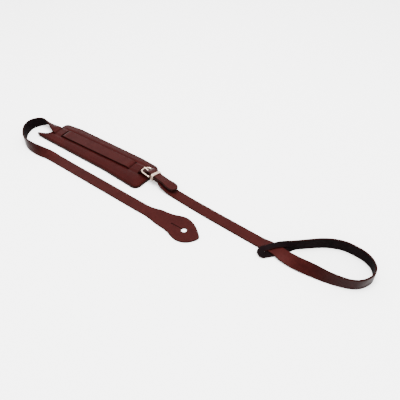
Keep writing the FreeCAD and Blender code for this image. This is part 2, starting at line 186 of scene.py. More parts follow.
def grain_leather(name, light, deep, edge):
    """Oxblood grain side: clouded dye, fine pebble, darker towards its cut edges, and painted shade
    where a strap stands on edge.
    """
    g = Graph(name)
    cloud = g.spread(g.noise(38, 4, 0.6), 0.34, 0.68)
    speck = g.spread(g.noise(620, 2, 0.6), 0.36, 0.66)
    colour = g.mix(cloud, light, deep)
    colour = g.mix(g.maths("MULTIPLY", speck, 0.30), colour, edge)
    # rim darkens towards cut edges; on the swept straps it also brings painted shade on upright faces
    rim = g.maths("ADD", g.attribute("rim"), g.spread(g.noise(210, 2), 0.3, 0.7, -0.18, 0.18))
    colour = g.mix(g.spread(rim, 0.10, 0.95), colour, edge)
    g.put("Base Color", colour)
    g.put("Roughness", g.spread(g.noise(90, 3), 0.3, 0.7, 0.40, 0.56))
    g.put("Specular IOR Level", 0.05)
    g.put("Specular Tint", WAX_SHEEN)
    pebble = g.spread(g.cells(1500), 0.0, 0.75)
    crease = g.noise(330, 4, 0.65)
    wide = g.bump(crease, 0.35, 0.00022)
    g.put("Normal", g.bump(pebble, 0.30, 0.00010, wide))
    return g.material


def edge_leather(name, light, deep):
    """Cut edge: dyed dark and rubbed, with the fibre's faint streaks."""
    g = Graph(name)
    g.put("Base Color", g.mix(g.spread(g.noise(480, 3), 0.35, 0.65), light, deep))
    g.put("Roughness", g.spread(g.noise(300, 2), 0.3, 0.7, 0.48, 0.66))
    g.put("Specular IOR Level", 0.05)
    g.put("Specular Tint", WAX_SHEEN)
    g.put("Normal", g.bump(g.noise(1100, 3, 0.6), 0.4, 0.00012))
    return g.material


def flesh_leather(name, light, deep):
    """Black flesh side: matt, with a short nap."""
    g = Graph(name)
    nap = g.noise(900, 4, 0.7)
    colour = g.mix(g.spread(g.noise(70, 4, 0.6), 0.35, 0.66), light, deep)
    colour = g.mix(g.maths("MULTIPLY", g.spread(nap, 0.4, 0.7), 0.35), colour, deep)
    g.put("Base Color", colour)
    g.put("Roughness", g.spread(g.noise(160, 2), 0.3, 0.7, 0.66, 0.82))
    g.put("Specular IOR Level", 0.012)
    g.put("Normal", g.bump(nap, 0.55, 0.00016))
    return g.material


def nickel_metal(name, light, deep):
    """Plated wire and band: pale, softly worn, with fine rub marks."""
    g = Graph(name)
    wear = g.spread(g.noise(260, 3, 0.6), 0.36, 0.70)
    g.put("Base Color", g.mix(wear, light, deep))
    g.put("Metallic", 1.0)
    g.put("Roughness", g.spread(g.noise(700, 3, 0.6), 0.3, 0.7, 0.20, 0.38))
    g.put("Normal", g.bump(g.noise(1300, 2, 0.5), 0.12, 0.00008))
    return g.material


def waxed_thread(name, light, deep):
    g = Graph(name)
    g.put("Base Color", g.mix(g.spread(g.noise(2400, 2), 0.35, 0.65), light, deep))
    g.put("Roughness", g.spread(g.noise(1500, 2), 0.3, 0.7, 0.45, 0.6))
    g.put("Specular IOR Level", 0.04)
    g.put("Normal", g.bump(g.noise(3800, 2, 0.6), 0.5, 0.00010))
    return g.material


OXBLOOD = (0.0172, 0.0028, 0.0025)
OXBLOOD_DEEP = (0.0118, 0.0019, 0.0018)
PAD_OXBLOOD = (0.0150, 0.0017, 0.0015)
PAD_DEEP = (0.0100, 0.0012, 0.0011)
BURNISHED = (0.0036, 0.0004, 0.0004)
strap_grain = grain_leather("StrapGrain", OXBLOOD, OXBLOOD_DEEP, BURNISHED)
pad_grain = grain_leather("PadGrain", PAD_OXBLOOD, PAD_DEEP, BURNISHED)
edge_dark = edge_leather("BurnishedEdge", (0.0060, 0.0010, 0.0008), (0.0034, 0.0007, 0.0006))
flesh_black = flesh_leather("BlackFlesh", (0.0031, 0.0015, 0.0018), (0.0016, 0.0008, 0.0010))
lining_black = flesh_leather("LiningSuede", (0.0036, 0.0020, 0.0024), (0.0020, 0.0011, 0.0013))
nickel = nickel_metal("WornNickel", (0.56, 0.42, 0.34), (0.36, 0.26, 0.20))
thread_dark = waxed_thread("WaxedThread", (0.0095, 0.0010, 0.0009), (0.0070, 0.0008, 0.0007))
STRAP_SIDES = (strap_grain, edge_dark, flesh_black)  # in the order of GRAIN, EDGE and FLESH

# ---------------------------------------------------------------- meshes

def make_object(name, points, faces, sides, materials, rim=None):
    """Mesh in the frame from layout points, with a material index per face."""
    mesh = bpy.data.meshes.new(name)
    mesh.from_pydata(metres(points).tolist(), [], [list(map(int, f)) for f in faces])
    for material in materials:
        mesh.materials.append(material)
    mesh.polygons.foreach_set("material_index", np.asarray(sides, np.int32))
    mesh.polygons.foreach_set("use_smooth", np.ones(len(faces), bool))
    # rim: darkening towards cut edges, and for swept straps also painted shade on upright faces
    store = mesh.attributes.new("rim", "FLOAT", "POINT")
    if rim is not None:
        store.data.foreach_set("value", np.asarray(rim, np.float32))
    mesh.update()
    item = bpy.data.objects.new(name, mesh)
    bpy.context.scene.collection.objects.link(item)
    return item


def smooth(rows, step):
    """Points, headings and other values of a smooth curve through rows of numbers."""
    rows = np.asarray(rows, float)
    pos = rows[:, :3]
    gaps = np.linalg.norm(np.diff(pos, axis=0), axis=1)
    chord = np.diff(pos, axis=0) / gaps[:, None]
    slopes = np.empty_like(pos)
    slopes[0], slopes[-1] = chord[0], chord[-1]
    total = gaps[:-1] + gaps[1:]
    slopes[1:-1] = (chord[:-1] * gaps[1:, None] + chord[1:] * gaps[:-1, None]) / total[:, None]
    places, headings, rest = [], [], []
    for i, h in enumerate(gaps):
        count = max(2, int(math.ceil(h / step)))
        u = np.arange(count + (i == len(gaps) - 1))[:, None] / count
        places.append(pos[i] * (2 * u**3 - 3 * u**2 + 1) + slopes[i] * h * (u**3 - 2 * u**2 + u)
                      + pos[i + 1] * (3 * u**2 - 2 * u**3) + slopes[i + 1] * h * (u**3 - u**2))
        headings.append(pos[i] * (6 * u**2 - 6 * u) + slopes[i] * h * (3 * u**2 - 4 * u + 1)
                        + pos[i + 1] * (6 * u - 6 * u**2) + slopes[i + 1] * h * (3 * u**2 - 2 * u))
        rest.append(rows[i, 3:] + (rows[i + 1, 3:] - rows[i, 3:]) * u)
    places, headings, rest = map(np.vstack, (places, headings, rest))
    headings /= np.linalg.norm(headings, axis=1)[:, None]
    return places, headings, rest


def profile(width, thick):
    """Cross-section of a strap: across, out of the grain, rim value, and each face's side."""
    top, low = TOP_ROUND, LOW_ROUND
    half, up = width / 2, thick / 2
    flat = half - top
    under = [-1.0, -0.75, -0.3, 0.3, 0.75, 1.0]
    bend = 1 - math.sqrt(0.5)
    points = [(a * flat, up) for a in ACROSS]
    points += [(-half + top * bend, up - top * bend), (-half, up - top), (-half, 0.0),
               (-half, low - up), (-half + low * bend, low * bend - up)]
    points += [(a * (half - low), -up) for a in under]
    points += [(half - low * bend, low * bend - up), (half, low - up), (half, 0.0),
               (half, up - top), (half - top * bend, up - top * bend)]
    points = np.array(points)
    rim = 1 - np.clip((half - np.abs(points[:, 0])) / 0.9, 0, 1)
    wall = [EDGE] * 6
    sides = [GRAIN] * (len(ACROSS) - 1) + wall + [FLESH] * (len(under) - 1) + wall
    return points, rim, sides


def tube_faces(count, around):
    """Quads between a number of equal rings, ring by ring."""
    faces = []
    for i in range(count - 1):
        for k in range(around):
            n = (k + 1) % around
            faces.append([i * around + k, i * around + n, (i + 1) * around + n, (i + 1) * around + k])
    return faces


def sweep(name, places, normals, rights, widths, thicks, caps=(True, True)):
    """Strap mesh with its cross-section carried along the given places.

    Leather that stands on edge, in the bend and the noose, gets painted shade: the more upright its
    face, the darker it is drawn.
    """
    loops, rim_and_painted_shade = [], []
    for place, normal, right, width, thick in zip(places, normals, rights, widths, thicks):
        points, rim, sides = profile(width, thick)
        loops.append(place + points[:, :1] * right + points[:, 1:] * normal)
        # painted shade: darker the more upright the grain side's face, kept with the edge darkening
        # in the rim attribute
        upright_painted_shade = 0.95 * max(0.0, 1 - abs(normal[2])) ** 0.75 if normal[2] > -0.5 else 0.0
        rim_and_painted_shade.append(np.maximum(rim, upright_painted_shade))
    count, around = len(loops), len(sides)
    faces = tube_faces(count, around)
    indices = sides * (count - 1)
    if caps[0]:
        faces.append(list(range(around - 1, -1, -1)))
        indices.append(EDGE)
    if caps[1]:
        faces.append(list(range((count - 1) * around, count * around)))
        indices.append(EDGE)
    return make_object(name, np.vstack(loops), faces, indices, STRAP_SIDES, np.concatenate(rim_and_painted_shade))


def rolled(rows, step=1.5):
    """Places, normals, right-hand directions and widths along rows of x, y, z, roll, width."""
    places, headings, rest = smooth(rows, step)
    angle = np.radians(rest[:, :1])
    left = np.cross([0, 0, 1], headings)
    left /= np.linalg.norm(left, axis=1)[:, None]
    up = np.cross(headings, left)
    normals = np.cos(angle) * up + np.sin(angle) * left
    rights = np.cross(headings, normals)
    widths = rest[:, 1]
    flat = np.abs(np.cos(angle[:, 0])) * THICK / 2
    lowest = widths / 2 * np.abs(np.sin(angle[:, 0])) + flat
    places[:, 2] = np.maximum(places[:, 2], lowest)
    return places, normals, rights, widths


def strap(name, rows, caps=(True, True), step=1.5):
    places, normals, rights, widths = rolled(rows, step)
    return sweep(name, places, normals, rights, widths, np.full(len(places), THICK), caps)


def join(name, parts):
    """One object from several, keeping the materials of the first."""
    bm = bmesh.new()
    for part in parts:
        bm.from_mesh(part.data)
    bmesh.ops.remove_doubles(bm, verts=bm.verts, dist=2e-6)
    bm.to_mesh(parts[0].data)
    bm.free()
    for part in parts[1:]:
        bpy.data.objects.remove(part)
    parts[0].name = name
    return parts[0]


def cut(item, centre, along, across, normal, length, width):
    """Cuts an oval hole through a strap; its wall is dark cut leather."""
    steps = 10
    reach = 4 * normal
    ring = []
    for end in (1, -1):
        for k in range(steps + 1):
            angle = math.pi * (k / steps - 0.5)
            x = end * (length - width) / 2 + end * math.cos(angle) * width / 2
            ring.append((x, end * math.sin(angle) * width / 2))
    ring = np.array(ring)
    low = centre + ring[:, :1] * along + ring[:, 1:] * across - reach
    high = low + 2 * reach
    n = len(ring)
    faces = [[k, (k + 1) % n, n + (k + 1) % n, n + k] for k in range(n)]
    faces += [list(range(n - 1, -1, -1)), list(range(n, 2 * n))]
    sides = [EDGE] * len(faces)
    tool = make_object("cutter", np.vstack([low, high]), faces, sides, item.data.materials)
    carve = item.modifiers.new("hole", "BOOLEAN")
    carve.operation = "DIFFERENCE"
    carve.solver = "EXACT"
    carve.object = tool
    bpy.context.view_layer.update()
    done = bpy.data.meshes.new_from_object(item.evaluated_get(bpy.context.evaluated_depsgraph_get()))
    item.modifiers.clear()
    item.data = done
    bpy.data.objects.remove(tool)


# ---------------------------------------------------------------- plates cut from an outline

def inside(points, loop):
    """Which points lie in a closed loop."""
    result = np.zeros(len(points), bool)
    x, y = points[:, 0], points[:, 1]
    for (x0, y0), (x1, y1) in zip(loop, np.roll(loop, -1, axis=0)):
        crosses = (y0 > y) != (y1 > y)
        if y1 != y0:
            result ^= crosses & (x < (x1 - x0) * (y - y0) / (y1 - y0) + x0)
    return result


def distance(points, loop):
    """Distance of each point from a closed loop's line."""
    best = np.full(len(points), 1e9)
    for a, b in zip(loop, np.roll(loop, -1, axis=0)):
        d = b - a
        u = np.clip(((points - a) @ d) / max(d @ d, 1e-12), 0, 1)
        best = np.minimum(best, np.linalg.norm(points - a - u[:, None] * d, axis=1))
    return best


def shifted(loop, amount):
    """Loop moved to its left by an amount, so inwards when it runs anticlockwise."""
    tangent = np.roll(loop, -1, axis=0) - np.roll(loop, 1, axis=0)
    tangent /= np.linalg.norm(tangent, axis=1)[:, None]
    return loop + amount * np.stack([-tangent[:, 1], tangent[:, 0]], axis=1)


def plate(name, outline, holes, rings, pitch, top, bottom, materials, rim_width=0.8,
          edge_line=None):
    """Piece cut from a sheet. top and bottom give heights from points and the two distances.

    edge_line is the line that counts as the outer cut edge, where part of the outline is a seam.
    """
    edge_line = outline if edge_line is None else edge_line
    loops = [outline] + list(holes)
    verts, edges = [], []
    for index, loop in enumerate(loops):
        for amount in (0.0,) + rings:
            moved = shifted(loop, amount)
            if amount:
                far = distance(moved, outline)
                for hole in holes:
                    far = np.minimum(far, distance(moved, hole))
                keep = (far > amount * 0.8) & inside(moved, outline)
                for hole in holes:
                    keep &= ~inside(moved, hole)
                verts += moved[keep].tolist()
                continue
            first = len(verts)
            verts += moved.tolist()
            edges += [(first + k, first + (k + 1) % len(moved)) for k in range(len(moved))]
    low, high = outline.min(0), outline.max(0)
    xs = np.arange(low[0], high[0], pitch)
    ys = np.arange(low[1], high[1], pitch)
    grid = np.array([(x + 0.5 * pitch * (j % 2), y) for j, y in enumerate(ys) for x in xs])
    clear = inside(grid, outline)
    for loop in loops:
        clear &= distance(grid, loop) > rings[-1] + 0.5 * pitch
        if loop is not outline:
            clear &= ~inside(grid, loop)
    verts += grid[clear].tolist()
    found = delaunay_2d_cdt([Vector(v) for v in verts], edges, [], 0, 1e-6)
    flat = np.array([v[:] for v in found[0]])
    triangles = np.array([list(f) for f in found[2]])
    middles = flat[triangles].mean(axis=1)
    keep = inside(middles, outline)
    for hole in holes:
        keep &= ~inside(middles, hole)
    triangles = triangles[keep]
    used = np.unique(triangles)
    index = np.full(len(flat), -1)
    index[used] = np.arange(len(used))
    flat, triangles = flat[used], index[triangles]
    d_out = distance(flat, edge_line)
    d_hole = np.full(len(flat), 1e9)
    for hole in holes:
        d_hole = np.minimum(d_hole, distance(flat, hole))
    a, b, c = (flat[triangles[:, k]] for k in range(3))
    ab, ac = b - a, c - a
    area = ab[:, 0] * ac[:, 1] - ab[:, 1] * ac[:, 0]
    triangles[area < 0] = triangles[area < 0][:, ::-1]
    count = len(flat)
    z_top, z_low = top(flat, d_out, d_hole), bottom(flat, d_out, d_hole)
    directed = {}
    for tri in triangles:
        for k in range(3):
            directed[(tri[k], tri[(k + 1) % 3])] = True
    rims_of = [(p, q) for p, q in directed if (q, p) not in directed]
    between = np.array([(flat[p] + flat[q]) / 2 for p, q in rims_of])
    cut_here = distance(between, edge_line) < 0.5
    for hole in holes:
        cut_here |= distance(between, hole) < 0.5
    rims_of = [pair for pair, real in zip(rims_of, cut_here) if real]
    mid_of = {}
    points = [np.column_stack([flat, z_top]), np.column_stack([flat, z_low])]
    middle = []
    for p in sorted({p for pair in rims_of for p in pair}):
        mid_of[p] = 2 * count + len(middle)
        middle.append([*flat[p], (z_top[p] + z_low[p]) / 2])
    points.append(np.array(middle))
    faces = triangles.tolist() + (triangles[:, ::-1] + count).tolist()
    near = np.minimum(d_out, d_hole)
    turned = near[triangles].min(axis=1) < rings[0] * 0.5
    sides = np.where(turned, EDGE, GRAIN).tolist() + np.where(turned, EDGE, FLESH).tolist()
    for p, q in rims_of:
        faces += [[q, p, mid_of[p], mid_of[q]], [mid_of[q], mid_of[p], p + count, q + count]]
        sides += [EDGE, EDGE]
    rim = 1 - np.clip(near / rim_width, 0, 1)
    rim = np.concatenate([rim, rim, np.ones(len(middle))])
    return make_object(name, np.vstack(points), faces, sides, materials, rim)


def rounded(corners, step=0.9):
    """Closed loop of points round an outline given as x, y, corner radius, anticlockwise."""
    count = len(corners)
    loop = []
    for i, (x, y, radius) in enumerate(corners):
        here = np.array([x, y], float)
        back = np.array(corners[i - 1][:2]) - here
        ahead = np.array(corners[(i + 1) % count][:2]) - here
        back, ahead = back / np.linalg.norm(back), ahead / np.linalg.norm(ahead)
        half = math.acos(np.clip(back @ ahead, -1, 1)) / 2
        inward = (back + ahead) / np.linalg.norm(back + ahead)
        centre = here + inward * radius / math.sin(half)
        first = here + back * radius / math.tan(half) - centre
        last = here + ahead * radius / math.tan(half) - centre
        turn = math.atan2(first[0] * last[1] - first[1] * last[0], first @ last)
        steps = max(2, int(abs(turn) * radius / step) + 1)
        for k in range(steps + 1):
            c, s = math.cos(turn * k / steps), math.sin(turn * k / steps)
            loop.append(centre + [first[0] * c - first[1] * s, first[0] * s + first[1] * c])
    dense = []
    for a, b in zip(loop, loop[1:] + loop[:1]):
        length = np.linalg.norm(b - a)
        if length > 1e-6:
            parts = max(1, int(round(length / step)))
            dense += [a + (b - a) * k / parts for k in range(parts)]
    return np.array(dense)


# ---------------------------------------------------------------- where the buckle is

YAW, PITCH, ROLL = math.radians(-4.5), math.radians(6.0), 14.0
OVERLAP = np.array([math.cos(YAW) * math.cos(PITCH), math.sin(YAW) * math.cos(PITCH),
                    -math.sin(PITCH)])
level_side = np.array([-math.sin(YAW), math.cos(YAW), 0.0])
level_out = np.cross(OVERLAP, level_side)
SIDE = level_side * math.cos(math.radians(ROLL)) - level_out * math.sin(math.radians(ROLL))
OUT = np.cross(OVERLAP, SIDE)


def in_buckle(x, z, y=0.0):
    """Layout point from buckle axes: along the overlap, off its plane, across."""
    return HEEL + x * OVERLAP + z * OUT + y * SIDE


# ---------------------------------------------------------------- button strap

ON_PAD, IN_PAD = 7.0, 2.4              # height of the strap's middle over the pad and in it
MID = (ON_PAD + IN_PAD) / 2
SLOT_X = (42.3, 57.7, 190.5, 209.0)
UNDER_WIDTH = 15.6
SEAM_RUN, SEAM_PAD = 160.0, 124.0      # where the strap's three meshes meet

# Rows of x, y, z, roll about the heading, width. On edge, the roll is near 90 degrees.
BEND = [
    (SEAM_RUN, 0, HALF_THICK, 0, FULL), (130, 0, HALF_THICK, 0, FULL),
    (108, 0, HALF_THICK, 0, FULL), (88, -0.4, 1.8, 5, 15.6), (74, -1.8, 3.6, 25, 14.6),
    (61, -5.0, 5.9, 48, 14.6), (48, -7.2, 7.5, 68, 15.2), (35, -7.0, 8.1, 80, FULL),
    (22, -3.0, 8.1, 90, FULL), (10.1, 5.8, 8.2, 94, FULL), (0.9, 17, 8.2, 98, FULL),
    (-2.3, 28.6, 8.2, 96, FULL), (1.7, 39.2, 8.4, 88, 15.8), (9.8, 46.1, 8.9, 72, 15.4),
    (19, 47.3, 9.3, 54, 14.4), (27, 46.3, 9.1, 37, 14.2), (32.6, 45.1, 8.7, 21, 14.8),
    (36, 44.7, 8.2, 10, 15.2),
]
# Through the buckle in its axes: x, z, thickness; then the tip: x, z, roll, width.
BILLET = [(-15.8, -2.65, THICK), (-13.4, -2.15, THICK), (-10.6, 0.05, THICK), (-7.8, 2.4, THICK),
          (-5.0, 4.05, THICK), (-2.4, 4.75, THICK), (0, 4.9, THICK), (1.6, 4.55, THICK),
          (3.0, 3.98, THICK), (4.6, 3.77, THICK), (7, 3.75, THICK), (12, 3.75, THICK),
          (20, 3.75, THICK), (24, 3.72, THICK)]
BILLET_TIP = [(28, 3.6, 10, 14.4), (32, 3.5, 6, 14.8), (37, 3.6, 4, 14.6), (40, 3.8, 4, 12.8),
              (42.4, 4.0, 4, 9.4), (44.2, 4.2, 4, 4.4)]


def pad_line(x):
    """Across position of the button strap over the pad."""
    return 44.4 + 0.047 * (x - 40)


def dip(down_x, up_x):
    """Route under one bridge of the pad: down through a slot and up through the next."""
    rows = []
    for centre, sign in ((down_x, 1), (up_x, -1)):
        for along, share in ((-3.6, 1.0), (-2.0, 0.85), (0, 0), (2.0, -0.85), (3.6, -1.0)):
            x = centre + along
            rows.append((x, pad_line(x), MID + sign * share * (ON_PAD - MID), 0, UNDER_WIDTH))
        if sign == 1:
            middle = (down_x + up_x) / 2
            rows.append((middle, pad_line(middle), IN_PAD, 0, UNDER_WIDTH))
    return rows


over_pad = [(x, pad_line(x), ON_PAD, 0, FULL) for x in (70, 100, SEAM_PAD, 150, 178)]
weave_rows = BEND + dip(*SLOT_X[:2]) + over_pad[:3]
to_buckle = over_pad[2:] + dip(*SLOT_X[2:])[:-1]
to_buckle += [(*in_buckle(*BILLET[0][:2]), ROLL, IN_FRAME)]
to_tip = [(*in_buckle(*BILLET[-1][:2]), ROLL, IN_FRAME)]
to_tip += [(*in_buckle(x, z), roll, width) for x, z, roll, width in BILLET_TIP]


def through_buckle(rows, width, step):
    """Places, normals, right-hand directions, widths and thicknesses in the buckle's axes."""
    turn = np.column_stack([OVERLAP, SIDE, OUT])
    places, headings, rest = smooth([(x, 0, z, thick) for x, z, thick in rows], step)
    rights = np.repeat(-SIDE[None, :], len(places), axis=0)
    return (HEEL + places @ turn.T, np.cross(rights, headings @ turn.T), rights,
            np.full(len(places), width), rest[:, 0])


def level_part(rows, step=1.5):
    """The same for a strap given by rows in the layout."""
    places, normals, rights, widths = rolled(rows, step)
    return places, normals, rights, widths, np.full(len(places), THICK)


strap_weave = strap("strap_weave", weave_rows, (False, False))
before, after = level_part(to_buckle), level_part(to_tip)
through = through_buckle(BILLET, IN_FRAME, 1.2)
parts = [np.concatenate([a[:-1], b, c[1:]]) for a, b, c in zip(before, through, after)]
strap_billet = sweep("strap_billet", *parts, caps=(False, True))

# Oval hole for the prong, square to the rising strap.
PRONG_HOLE_LENGTH, PRONG_HOLE_WIDTH = 8.6, 2.6
slope = math.atan2(2.25, 2.8)
slot_along = OVERLAP * math.cos(slope) + OUT * math.sin(slope)
slot_out = OUT * math.cos(slope) - OVERLAP * math.sin(slope)
cut(strap_billet, in_buckle(-8.5, 1.85), slot_along, SIDE, slot_out,
    PRONG_HOLE_LENGTH, PRONG_HOLE_WIDTH)

# Leaf-shaped end with its button hole and slit, in one plate with the straight run.
RUN_END, LEAF_TURN = 252.0, math.radians(1.8)
LEAF_FAR = [(0, 8.0), (10, 8.1), (19, 9.7), (27, 11.9), (36, 12.8), (45, 14.4), (52, 16.9),
            (60, 19.0), (66, 18.7), (73, 16.6), (80, 12.9), (87, 7.4)]
LEAF_NEAR = [(0, 8.0), (14, 8.2), (25, 9.8), (37, 11.8), (47, 12.6), (54, 13.9), (61, 16.4),
             (70, 18.6), (78.5, 17.3), (85, 13.6), (90, 8.0)]
HOLE_AT, HOLE_RADIUS, SLIT_LENGTH, SLIT_HALF = 70.7, 3.5, 20.0, 0.40


def spline_2d(points, step):
    rows = [(x, y, 0.0) for x, y in points]
    return smooth(rows, step)[0][:, :2]


def on_leaf(points):
    points = np.asarray(points, float)
    c, s = math.cos(LEAF_TURN), math.sin(LEAF_TURN)
    x, y = points[:, 0], points[:, 1]
    return np.column_stack([RUN_END + x * c - y * s, x * s + y * c])


around = [(x, -y) for x, y in LEAF_NEAR] + [(93.4, 0)] + LEAF_FAR[::-1]
tip = on_leaf(spline_2d(around, 1.2))
run_xs = np.arange(SEAM_RUN, RUN_END - 1, 2.0)
near_side = np.column_stack([run_xs, np.full(len(run_xs), -FULL / 2)])
far_side = np.column_stack([run_xs[::-1], np.full(len(run_xs), FULL / 2)])
seam_ys = (FULL / 2 - TOP_ROUND) * np.array(ACROSS)
seam_line = np.column_stack([np.full(len(seam_ys), SEAM_RUN), seam_ys])
leaf_outline = np.vstack([near_side, tip, far_side, seam_line])
opening = math.asin(SLIT_HALF / HOLE_RADIUS)
turns = np.linspace(math.pi - opening, opening - math.pi, 40)
key = [(HOLE_AT + HOLE_RADIUS * math.cos(t), HOLE_RADIUS * math.sin(t)) for t in turns]
slit_xs = np.linspace(HOLE_AT - HOLE_RADIUS - 0.6, HOLE_AT - SLIT_LENGTH, 22)
slit_side = [(x, SLIT_HALF * (0.35 + 0.65 * i / 21)) for i, x in enumerate(slit_xs)]
key += [(x, -y) for x, y in slit_side] + slit_side[::-1]
key = on_leaf(key)


def rounding(d, radius):
    """Height over a rounded edge's lowest line, at a distance from the edge."""
    return np.sqrt(np.maximum(radius**2 - (radius - np.minimum(d, radius)) ** 2, 0))


def leaf_top(points, d_out, d_hole):
    return THICK - TOP_ROUND + rounding(np.minimum(d_out, d_hole), TOP_ROUND)


def leaf_low(points, d_out, d_hole):
    return LOW_ROUND - rounding(np.minimum(d_out, d_hole), LOW_ROUND)


# The seam with the run isn't a cut edge, so the edge's line passes far outside it.
leaf_edge = leaf_outline.copy()
leaf_edge[leaf_edge[:, 0] < SEAM_RUN + 1, 0] -= 40
strap_leaf = plate("strap_leaf", leaf_outline, [key], (0.16, TOP_ROUND, 1.4), 1.7, leaf_top, leaf_low,
                   STRAP_SIDES, edge_line=leaf_edge)

# ---------------------------------------------------------------- noose strap

# Fold round the heel bar in buckle axes: x, z, thickness. The turned-back layer is pared down.
SKIVE = 1.6
FOLD = [(15.5, -0.97, SKIVE), (12, -0.95, SKIVE), (8, -0.95, SKIVE), (4.2, -0.97, SKIVE),
        (2.4, -1.35, SKIVE), (0.6, -2.06, SKIVE), (-1.1, -1.83, SKIVE), (-2.1, -0.7, 1.8),
        (-2.25, 0.7, 2.0), (-1.35, 1.95, 2.1), (0.4, 2.36, THICK), (2.0, 1.95, THICK),
        (3.6, 1.42, THICK), (6.5, 1.25, THICK), (12, 1.25, THICK), (15.7, 1.25, THICK)]
NOOSE = [
    (*in_buckle(15.7, 1.25), ROLL, FOLD_WIDTH), (251, 48.3, 6.0, 5, 14.8), (257, 47.4, 4.1, 2, 15.2),
    (264, 46.8, 2.7, 1, 15.2), (272, 46.4, 1.8, 1, 15.2), (282, 46.0, 1.3, 0, 15.2),
    (292, 45.5, 1.2, 0, 15.4), (330, 44.0, HALF_THICK, 0, 15.8), (370, 43.1, HALF_THICK, 0, FULL),
    (402, 42.4, HALF_THICK, 0, FULL), (411, 42.2, 1.5, 0, FULL), (418, 42.0, 3.0, 0, FULL),
    (424, 41.8, 3.8, 0, FULL), (433, 41.2, 3.9, -2, FULL), (443, 39.0, 4.4, -17, FULL),
    (458, 37.4, 5.4, -35, FULL), (478, 37.8, 6.9, -54, FULL), (498, 38.8, 8.0, -77, FULL),
    (510, 41.0, 8.1, -84, FULL), (520, 44.3, 7.8, -87, 15.4), (529, 49.4, 7.8, -88, 15.4),
    (536.0, 58, 8.0, -89, 15.8), (539.3, 68, 8.1, -89, FULL), (537.4, 78.2, 8.1, -88, FULL),
    (531.4, 85.9, 8.1, -86, FULL), (521.5, 91.0, 8.1, -88, FULL), (508, 92.7, 8.1, -90, FULL),
    (495, 92.0, 8.1, -91, FULL), (482, 87.2, 8.1, -92, FULL), (470, 79.4, 8.1, -92, FULL),
    (459, 69.7, 8.0, -92, 15.8), (449, 60.8, 7.7, -93, 15.2),
]
# The slit end tab: its upper lip crosses over the strap, its lower lip under it.
LIP = 7.4
UPPER_LIP = [
    (443.5, 56.7, 10.4, -106, LIP), (438, 53.2, 9.1, -124, LIP), (432.5, 49.5, 7.7, -150, LIP),
    (428, 45.2, 6.7, -172, LIP), (424.0, 40, 6.3, -176, LIP), (420.2, 34.9, 5.5, -168, LIP),
]
LOWER_LIP = [
    (445.5, 57.2, 3.6, -108, LIP), (442.5, 53.2, 2.9, -128, LIP), (439, 49, 2.0, -152, LIP),
    (435.6, 44, HALF_THICK, -180, LIP), (432.3, 38.5, HALF_THICK, -180, LIP),
    (428.9, 34.4, 1.3, -176, LIP),
]
TAB_END = [(421.1, 31.0, 3.3, -160, 15.6), (419.2, 27.9, 3.1, -162, 14.4),
           (417.9, 25.4, 3.0, -164, 11.4), (417.1, 23.7, 2.9, -166, 6.6)]

fold, run = through_buckle(FOLD, FOLD_WIDTH, 0.8), level_part(NOOSE)
parts = [np.concatenate([a, b[1:]]) for a, b in zip(fold, run)]
noose_run = sweep("noose_run", *parts, caps=(True, False))
NOTCH_LENGTH, NOTCH_WIDTH = 7.0, 3.4   # opening in the fold for the prong's ring
cut(noose_run, in_buckle(-0.9, 0), OVERLAP, SIDE, OUT, NOTCH_LENGTH, NOTCH_WIDTH)


def half_row(rows, index, side):
    """Row for one half of a full-width strap at one of its ends."""
    spots, _, across, wide = rolled(rows)
    spot = spots[index] + side * across[index] * wide[index] / 4
    return (*spot, rows[index][3], wide[index] / 2)


tab = strap("noose_tab", TAB_END, (False, True))
lips = []
for rows, side in ((UPPER_LIP, -1), (LOWER_LIP, 1)):
    whole = [half_row(NOOSE, -1, side)] + rows + [half_row(TAB_END, 0, side)]
    lips.append(strap("lip", whole, (False, False), 1.2))
noose_strap_piece = join("noose_strap_leather", [noose_run, tab] + lips)

# ---------------------------------------------------------------- shoulder pad

OUTLINE = [
    (16.6, 21.2, 1.4), (54, 21.6, 90), (160, 23.2, 200), (225.4, 20.4, 9.5), (226.0, 44.0, 60),
    (225.0, 72.2, 9.0), (190, 73.8, 100), (66, 70.2, 90), (37.2, 65.8, 8.0), (36.4, 46.0, 30),
    (31.6, 32.0, 12),
]
pad_outline = rounded(OUTLINE)
SLOT_HALF = 8.7           # half of a slot's length across the pad
GAP = 1.7                 # half of its width
RIM_TOP = 2.9             # height of the pad's edge
PAD_TOP = 5.5
SHOULDER = 3.2            # width over which the rim rises
GROOVE = 2.5              # distance of the stitches from the edge
LINING_ROUND = 0.4
CURL_AT, CURL_REACH, CURL_HEIGHT = (20, 23), 18, 2.2
slots = []
for x in SLOT_X:
    y = pad_line(x)
    corners = [(x - GAP, y - SLOT_HALF, 0.8), (x + GAP, y - SLOT_HALF, 0.8),
               (x + GAP, y + SLOT_HALF, 0.8), (x - GAP, y + SLOT_HALF, 0.8)]
    slots.append(rounded(corners, 0.7)[::-1])


def curl(points):
    """How far the pad's near left corner lifts off the floor."""
    reach = np.hypot(points[:, 0] - CURL_AT[0], points[:, 1] - CURL_AT[1])
    return CURL_HEIGHT * (1 - np.clip(reach / CURL_REACH, 0, 1)) ** 2


